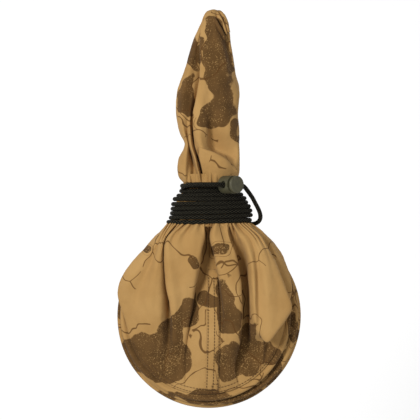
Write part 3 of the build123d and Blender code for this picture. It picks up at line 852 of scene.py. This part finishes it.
tail = cloth("tail_front_cloth", rows, "tail_front_bundle", closed=True, flip=True)
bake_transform(tail)

# A fold of the sleeve sweeps over the tail's foot, and its free edge is rolled under.
FOOT_GUIDES = [
    [(-5, 135, 40), (2, 135, 43.8), (10, 135, 44.8), (17, 135, 43), (24, 135.5, 36)],
    [(-7.5, 150, 45), (0, 149, 49), (10, 147.5, 50.5), (19.5, 146, 47.5), (28.6, 144.6, 40)],
    [(-9.8, 160, 46.5), (-2, 158, 50.5), (8, 154.5, 52), (18, 149.5, 49.5), (28, 146, 41)],
    [(-9.6, 168.5, 47.5), (-3, 165.5, 51.5), (6.5, 162, 52.6), (16.5, 156.4, 50.4), (26.5, 147.6, 42.5)],
    [(-9, 170, 45.5), (-2.5, 166.9, 49.6), (7, 163.3, 50.6), (17, 157.5, 48.6), (27, 148.4, 40.5)],
    [(-9.5, 166, 43), (-3, 162.5, 46.5), (7, 158, 47.5), (17, 152.5, 45.5), (27, 146, 38)],
]
rows = guide_grid(FOOT_GUIDES, 70, 80)
rows[:, :, 2] += 0.5 * fractal(rows, 11, 2, 61.0)
foot_fold = cloth("tail_foot_fold", rows, flip=True)
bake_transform(foot_fold)

# The inner layers that show at the tip: a lip along the front panel's edge, and two rolls beside it.
TIP_GUIDES = {
    "tip_inner_lip": [
        [(-1.5, 304, 16.5), (3.5, 295, 24), (9, 286, 27), (15, 276, 26)],
        [(-0.5, 304.8, 18.5), (5, 296, 26.6), (10.8, 287, 29.4), (16.3, 276.5, 28)],
        [(1.8, 305, 18), (7.2, 297, 25.6), (12.8, 288, 28), (17.4, 277.5, 27)],
        [(1.5, 304.5, 15.5), (6.7, 296.4, 22), (12.2, 287.4, 24), (16.9, 277, 23.5)],
    ],
    "tip_inner_roll": [
        [(5.2, 303.5, 15), (9, 297, 18), (12.8, 289.5, 19), (16.6, 281, 19.5)],
        [(5.2, 304.6, 18.6), (9, 298.5, 22.4), (13, 290.5, 24), (17, 281.5, 23.5)],
        [(7.8, 305.6, 19.4), (11.2, 299.6, 23.4), (15, 291.6, 24.8), (18.2, 282, 24)],
        [(10.2, 305.4, 16), (13.2, 300, 19), (16.4, 292.4, 20.4), (19, 283, 20)],
    ],
    "tip_outer_roll": [
        [(10, 304.5, 16), (13, 300, 18.5), (15.6, 293, 19), (18.2, 284, 19)],
        [(11, 305.6, 19.6), (14, 300.8, 22.8), (16.8, 293.6, 23.6), (19.2, 284.5, 23)],
        [(13.4, 305, 19.4), (16.4, 300.6, 22), (18.6, 293.6, 22.6), (20.4, 285, 22)],
        [(14.8, 303.6, 14), (17.6, 299.6, 15.6), (19.8, 293, 16.4), (21.2, 285, 16.8)],
    ],
}
for name, guides in TIP_GUIDES.items():
    rows = guide_grid(guides, 34, 44)
    rows += grid_normals(rows) * 0.35 * fractal(rows, 5, 2, 71.0)[:, :, None]
    cloth(name, rows, body="tail", flip=True, thick=0.4)

# The return under the tail, from its mouth to its tip: y, centre x, half width, height of its upper side and
# depth of each section.
RETURN_SECTIONS = [
    (183, 0.5, 29, 24.6, 22.2), (190, 0, 28.8, 23.4, 21.4), (214, -2.5, 30, 20.2, 18.9),
    (243, -0.5, 25, 16.8, 15.2), (273, 1.5, 19, 13.8, 12.2), (291, 4, 13.6, 11.8, 10.2),
    (301, 4.5, 9.5, 11, 7.2), (305, 4.5, 5.5, 10.5, 4.5), (306.3, 4.5, 1.8, 10.3, 1.4),
]
# The return and the hem's stitches are kept above these heights.
LOWEST = 0.5
LOWEST_STITCH = 1.0


def return_fold(a, y):
    """How far the return's lengthwise folds stand out, at an angle round the tail and a place along it."""
    return math.sin(9 * a + 2.0 * math.sin(2 * a) + y * 0.012) * (1 if math.sin(a) < 0 else 0.3)


def return_point(a, section, grow=0.0):
    """A point of the return's skin at an angle round one of its sections, which may be grown a little."""
    y, centre, half, split, depth = section
    fold = return_fold(a, y)
    up_or_down = (depth + grow - 1.0 + 0.8 * fold) if math.sin(a) < 0 else 2.0 + 0.5 * grow
    x = centre + (half + grow - 1.6 + 0.6 * fold) * math.cos(a)
    return (x, y, max(split - 2.5 + up_or_down * math.sin(a), LOWEST))


sections = through(np.array(RETURN_SECTIONS, float)[:, None, :], 90)[:, 0]
around = TURN * np.arange(160) / 160
grid = np.array([[return_point(a, section) for section in sections] for a in around])
tail_return = cloth("tail_return_cloth", grid, "tail_return_bundle", body="tail", closed=True, thick=0)

hem_low, hem_high = box_mm("mouth_hem")
hem_middle = (hem_low[1] + hem_high[1]) / 2
# The hem's profile: how far along the tail, and how far out. Its section is close to the return's there.
HEM_PROFILE = ((-3.9, -0.9), (-3.6, 0.8), (-2, 1.2), (2, 1.2), (3.6, 0.8), (3.9, -0.4))
HEM_SECTION = (0.2, 28.9, 24.0, 21.8)


def hem_point(a, along, grow):
    """A point of the hem at an angle round it."""
    return return_point(a, (hem_middle + along, *HEM_SECTION), grow)


grid = np.array([[hem_point(a, along, grow) for along, grow in HEM_PROFILE] for a in around])
hem = cloth("mouth_hem_cloth", grid, "mouth_hem", body="tail", closed=True, thick=0)
hem_seams = []
for along in (-1.7, 1.7):
    seam = [hem_point(a, along, 1.35) for a in TURN * np.arange(161) / 160]
    hem_seams.append([(x, y, max(z, LOWEST_STITCH)) for x, y, z in seam])
hem_stitches = stitches("mouth_hem_stitches", hem_seams, "tail")

# ---- the drawcord ----

CORD_R = 2.2
GAP = 2 * CORD_R + 0.15
cord_way = np.array(JOINTS["cord_lock_slide"]["axis"], float)
lock_up = -np.array(JOINTS["cord_lock_press"]["axis"], float)
housing_low, housing_high = box_mm("cord_lock_housing")
HOLE_ABOVE_MIDDLE = 2.2
hole = (housing_low + housing_high) / 2 + lock_up * HOLE_ABOVE_MIDDLE
# Up over the winding to the lock, straight through it, and down the right side into the winding.
cord_points = [
    (-21, 125, 26), (-25.4, 127, 33), (-26, 129.4, 40.5), (-23.8, 131, 47.6), (-19, 131.8, 53.8),
    (-13.2, 132.2, 58.8), (-7.6, 132.2, 62.2), (-1.8, 132.1, 64), (4.2, 132, 64.2),
]
cord_points += [tuple(hole + cord_way * along) for along in (-16, -10, -4, 2, 8, 13)]
cord_points += [
    tuple(hole + cord_way * 18 + (0, -1.8, 0)), tuple(hole + cord_way * 22 + (0, -5.8, 0)),
    (43.2, 119.4, 32.2), (46.2, 113.6, 28.8), (49.2, 108.2, 25.6), (51.2, 103.2, 22.6), (51.6, 98.6, 19.4),
    (49.6, 95, 16.2), (45.6, 93, 13.8), (40.4, 93, 12), (33, 94.4, 10.4),
]
# Each turn: where it lies along the neck at the left and at the right, and how far it stands out there.
TURNS = [
    (95.2, 96.8, 3.0, 4.0), (98.9, 102.2, 1.2, 6.5), (103.8, 106.8, 0.6, 7.0), (108.2, 110.6, 1.6, 6.5),
    (112.6, 114.6, 2.6, 5.0), (117.4, 118.4, 3.2, 5.0), (121.6, 122.4, -1.2, 4.0), (126.0, 126.6, -0.6, 1.6),
    (130.4, 131.6, -0.8, 0.6),
]
POINTS_A_TURN = 26
# The angle where the winding starts, in half turns: low on the right side.
START_TURN = -0.34


def wound_turns():
    """The winding's points: each turn goes under the neck to the left, over the top and back to the right."""
    points = []
    for number, (left, right, out_left, out_right) in enumerate(TURNS):
        for k in range(POINTS_A_TURN):
            a = math.pi * START_TURN - TURN * k / POINTS_A_TURN
            c, s = math.cos(a), math.sin(a)
            row = left + (right - left) * (0.5 + 0.5 * c)
            sway = 0.5 * math.sin(3 * a + 2.1 * number)
            slant = 1.1 * math.sin(2 * a + 1.9 * number) if s > 0 else 0
            row += sway + slant
            share = (row - NECK_START) / NECK_LONG
            half = NECK_WIDE + 5.2 + (NECK_NARROW - NECK_WIDE - 1.5) * share - waist(row)
            half_z = NECK_HALF_Z + 5.4 - 1.6 * share
            out = out_left + (out_right - out_left) * (0.5 + 0.5 * c)
            points.append([NECK_X + (half + out) * c, row, NECK_Z + half_z * s])
    return np.array(points)


def pushed_apart(points, times=70):
    """Moves turns that are nearer than a cord's thickness apart, and keeps them outside the neck."""
    home = points.copy()
    order = np.arange(len(points))
    apart = np.abs(order[:, None] - order[None, :]) > 8
    for _ in range(times):
        delta = points[:, None] - points[None, :]
        gap = np.linalg.norm(delta, axis=2)
        share = np.where(apart & (gap < GAP), (GAP - gap) / (gap + 1e-6) * 0.4, 0)
        points = points + (delta * share[:, :, None]).sum(axis=1)
        smooth = points.copy()
        smooth[1:-1] = 0.5 * points[1:-1] + 0.25 * (points[2:] + points[:-2])
        points = 0.75 * points + 0.25 * smooth + 0.03 * (home - points)
        share = (points[:, 1] - NECK_START) / NECK_LONG
        half = NECK_WIDE + (NECK_NARROW - NECK_WIDE) * share - waist(points[:, 1]) + CORD_R
        reach = np.hypot((points[:, 0] - NECK_X) / half, (points[:, 2] - NECK_Z) / (NECK_HALF_Z + CORD_R))
        grow = np.where(reach < 1, 1 / reach, 1)
        points[:, 0] = NECK_X + (points[:, 0] - NECK_X) * grow
        points[:, 2] = NECK_Z + (points[:, 2] - NECK_Z) * grow
    return points


# After the last turn the cord's end is tucked into the neck.
wound = pushed_apart(wound_turns())
cord_points += [tuple(p) for p in wound]
cord_points += [tuple(wound[-1] + step) for step in ((-7, -0.2, -2.2), (-15, -0.8, -1.8), (-23, -1.8, 1.4))]

curve = bpy.data.curves.new("drawcord", "CURVE")
curve.dimensions = "3D"
spline = curve.splines.new("NURBS")
spline.points.add(len(cord_points) - 1)
for point, place in zip(spline.points, cord_points):
    point.co = (place[0] * MM, place[1] * MM, place[2] * MM, 1)
spline.order_u = 3
spline.use_endpoint_u = True
spline.resolution_u = 6
curve.bevel_depth = CORD_R * MM
curve.bevel_resolution = 4
curve.use_fill_caps = True
curve.materials.append(cord_finish)
drawcord = bpy.data.objects.new("drawcord", curve)
bpy.context.scene.collection.objects.link(drawcord)
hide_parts("cord_winding", "drawcord_run")
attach(drawcord, BODY_OF["cord_winding"])

# ---- the lock's spring, a copy of the CAD node in steel ----

spring_node = frame["nodes"]["cord_lock_spring"]
spring_mesh = spring_node.data.copy()
spring_mesh.transform(spring_node.matrix_world)
spring_mesh.materials.clear()
spring_mesh.materials.append(steel)
spring = bpy.data.objects.new("lock_spring_coil", spring_mesh)
bpy.context.scene.collection.objects.link(spring)
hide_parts("cord_lock_spring")
places = np.array([v.co for v in spring_mesh.vertices])
middle = (places.min(axis=0) + places.max(axis=0)) / 2
along = (places - middle) @ lock_up
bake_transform(spring)
